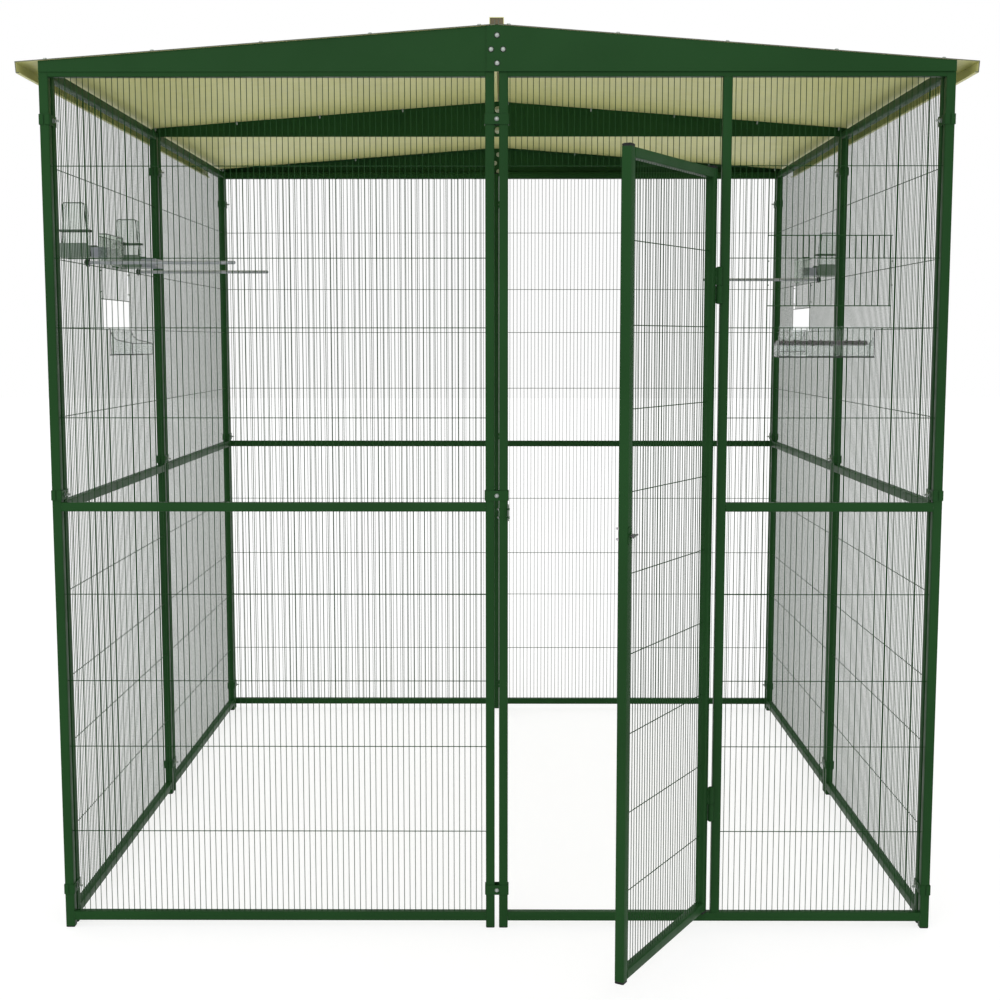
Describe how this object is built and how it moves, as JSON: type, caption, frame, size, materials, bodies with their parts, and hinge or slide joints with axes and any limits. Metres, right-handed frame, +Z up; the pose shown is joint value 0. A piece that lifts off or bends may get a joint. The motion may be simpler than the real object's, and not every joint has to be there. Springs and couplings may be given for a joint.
{
  "type": "garden aviary",
  "caption": "Walk-in outdoor bird aviary of clamped wire-mesh panels with a hinged bolted door, low pitched sheet roof, sliding feed hatches, troughs, hopper feeders and perches.",
  "frame": {"origin": "middle of the bounding box's underside, on the ground, with the door open as pictured", "axes": "+X to the right seen from the front, +Y from the door side to the back, +Z up"},
  "size_m": [2.125, 2.4468, 2.0319],
  "materials": {
    "green_steel": "satin dark green powder coat",
    "roof_sheet": "satin cream coated sheet",
    "zinc_rod": "zinc plated",
    "clear_trough": "clear moulded plastic",
    "dark_wood": "natural knobbly branch",
    "feeder_plastic": "moulded dark green plastic",
    "green_clear": "green tinted clear plastic",
    "grey_plastic": "matt grey rod"
  },
  "bodies": {
    "cage": {"panel_front_left": "green_steel", "panel_front_door": "green_steel", "panel_left_front": "green_steel", "panel_left_back": "green_steel", "panel_right_front": "green_steel", "panel_right_back": "green_steel", "panel_back_left": "green_steel", "panel_back_right": "green_steel", "clamp_front_low": "green_steel", "clamp_front_mid": "green_steel", "clamp_front_top": "green_steel", "clamp_back_low": "green_steel", "clamp_back_mid": "green_steel", "clamp_back_top": "green_steel", "clamp_left_low": "green_steel", "clamp_left_mid": "green_steel", "clamp_left_top": "green_steel", "clamp_right_low": "green_steel", "clamp_right_mid": "green_steel", "clamp_right_top": "green_steel", "clamp_corner_fl_low": "green_steel", "clamp_corner_fl_mid": "green_steel", "clamp_corner_fl_top": "green_steel", "clamp_corner_fr_low": "green_steel", "clamp_corner_fr_mid": "green_steel", "clamp_corner_fr_top": "green_steel", "clamp_corner_bl_low": "green_steel", "clamp_corner_bl_mid": "green_steel", "clamp_corner_bl_top": "green_steel", "clamp_corner_br_low": "green_steel", "clamp_corner_br_mid": "green_steel", "clamp_corner_br_top": "green_steel", "gable_front_left": "green_steel", "gable_front_right": "green_steel", "gable_middle_left": "green_steel", "gable_middle_right": "green_steel", "gable_back_left": "green_steel", "gable_back_right": "green_steel", "roof_left": "roof_sheet", "roof_right": "roof_sheet", "ridge_cap": "roof_sheet", "latch_keep": "green_steel", "trough_front": "clear_trough", "trough_left": "clear_trough", "trough_right": "clear_trough", "trough_perch": "dark_wood", "feeder_left_front": "feeder_plastic", "feeder_left_back": "feeder_plastic", "feeder_right": "feeder_plastic", "guard_left": "green_clear", "guard_right": "green_clear", "perch_left_front": "grey_plastic", "perch_left_back": "grey_plastic", "perch_right": "grey_plastic"},
    "door": {"door_leaf": "green_steel", "latch_plate": "green_steel"},
    "latch": {"latch_bolt": "zinc_rod"},
    "hatch_front": {"hatch_front": "green_steel"},
    "hatch_left": {"hatch_left": "green_steel"},
    "hatch_right": {"hatch_right": "green_steel"}
  },
  "joints": [
    {"name": "door_hinge", "type": "hinge", "parent": "cage", "child": "door", "pos_m": [0.486, -0.82968, 0.9], "axis": [0, 0, 1], "range_deg": [-60.35, 109.65]},
    {"name": "latch_slide", "type": "slide", "parent": "door", "child": "latch", "axis": [-0.4947, -0.8691, 0], "range_m": [0, 0.018]},
    {"name": "hatch_front_slide", "type": "slide", "parent": "cage", "child": "hatch_front", "axis": [0, 0, 1], "range_m": [-0.0485, 0.027]},
    {"name": "hatch_left_slide", "type": "slide", "parent": "cage", "child": "hatch_left", "axis": [0, 0, 1], "range_m": [-0.0755, 0]},
    {"name": "hatch_right_slide", "type": "slide", "parent": "cage", "child": "hatch_right", "axis": [0, 0, 1], "range_m": [-0.0755, 0]}
  ]
}
